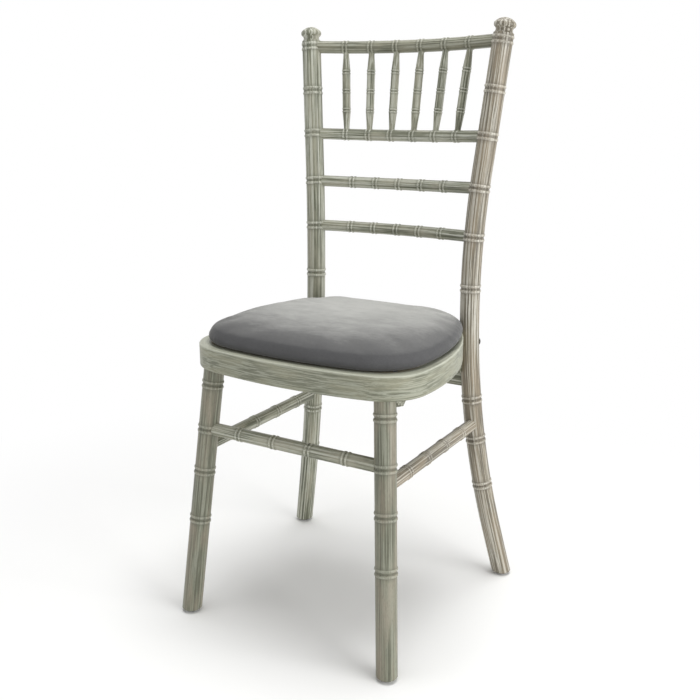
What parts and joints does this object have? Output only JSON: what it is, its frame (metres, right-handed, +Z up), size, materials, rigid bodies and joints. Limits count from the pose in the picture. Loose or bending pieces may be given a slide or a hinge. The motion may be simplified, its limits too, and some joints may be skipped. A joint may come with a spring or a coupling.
{
  "type": "chiavari chair",
  "caption": "Stackable banquet chair with a slender bamboo-turned wooden frame, a spindle back, a bentwood seat ring and a lift-off padded seat cushion.",
  "frame": {"origin": "on the floor, under the middle of the chair's whole width and depth", "axes": "+Z up, the chair faces -Y, +X to the right seen from the front"},
  "size_m": [0.4458, 0.4154, 0.9202],
  "materials": {
    "limewashed_wood": "limewashed grey-brown stain with white lime left in the grain, satin lacquer",
    "plywood": "sanded plywood",
    "zinc_steel": "zinc-plated steel",
    "dark_steel": "black oxide steel",
    "glide_nylon": "dark nylon",
    "grey_velvet": "light grey short-pile velvet",
    "lining_cloth": "black non-woven lining",
    "loop_tape": "woven hook-and-loop tape",
    "foam": "open-cell foam"
  },
  "bodies": {
    "frame": {"back_post_left": "limewashed_wood", "back_post_right": "limewashed_wood", "block_screws": "zinc_steel", "front_glide_left": "glide_nylon", "front_glide_right": "glide_nylon", "front_glue_block_left": "limewashed_wood", "front_glue_block_right": "limewashed_wood", "front_leg_left": "limewashed_wood", "front_leg_right": "limewashed_wood", "front_stretcher": "limewashed_wood", "glide_nails": "zinc_steel", "lower_ladder_rail": "limewashed_wood", "panel_loop_strips": "loop_tape", "panel_screws": "zinc_steel", "rail_screws": "zinc_steel", "rear_glide_left": "glide_nylon", "rear_glide_right": "glide_nylon", "rear_glue_block_left": "limewashed_wood", "rear_glue_block_right": "limewashed_wood", "rear_seat_rail": "limewashed_wood", "seat_panel": "plywood", "seat_ring": "limewashed_wood", "seat_ring_bolts": "dark_steel", "side_stretcher_left": "limewashed_wood", "side_stretcher_right": "limewashed_wood", "spindle_1": "limewashed_wood", "spindle_2": "limewashed_wood", "spindle_3": "limewashed_wood", "spindle_4": "limewashed_wood", "spindle_5": "limewashed_wood", "spindle_6": "limewashed_wood", "spindle_rail": "limewashed_wood", "top_rail": "limewashed_wood", "upper_ladder_rail": "limewashed_wood"},
    "seat_pad": {"pad_hook_strips": "loop_tape", "pad_underlining": "lining_cloth", "pad_board": "plywood", "pad_cover": "grey_velvet", "pad_foam": "foam"}
  },
  "joints": [
    {"name": "seat_pad_lift", "type": "slide", "parent": "frame", "child": "seat_pad", "axis": [0, 0, 1], "range_m": [0, 0.12]}
  ]
}
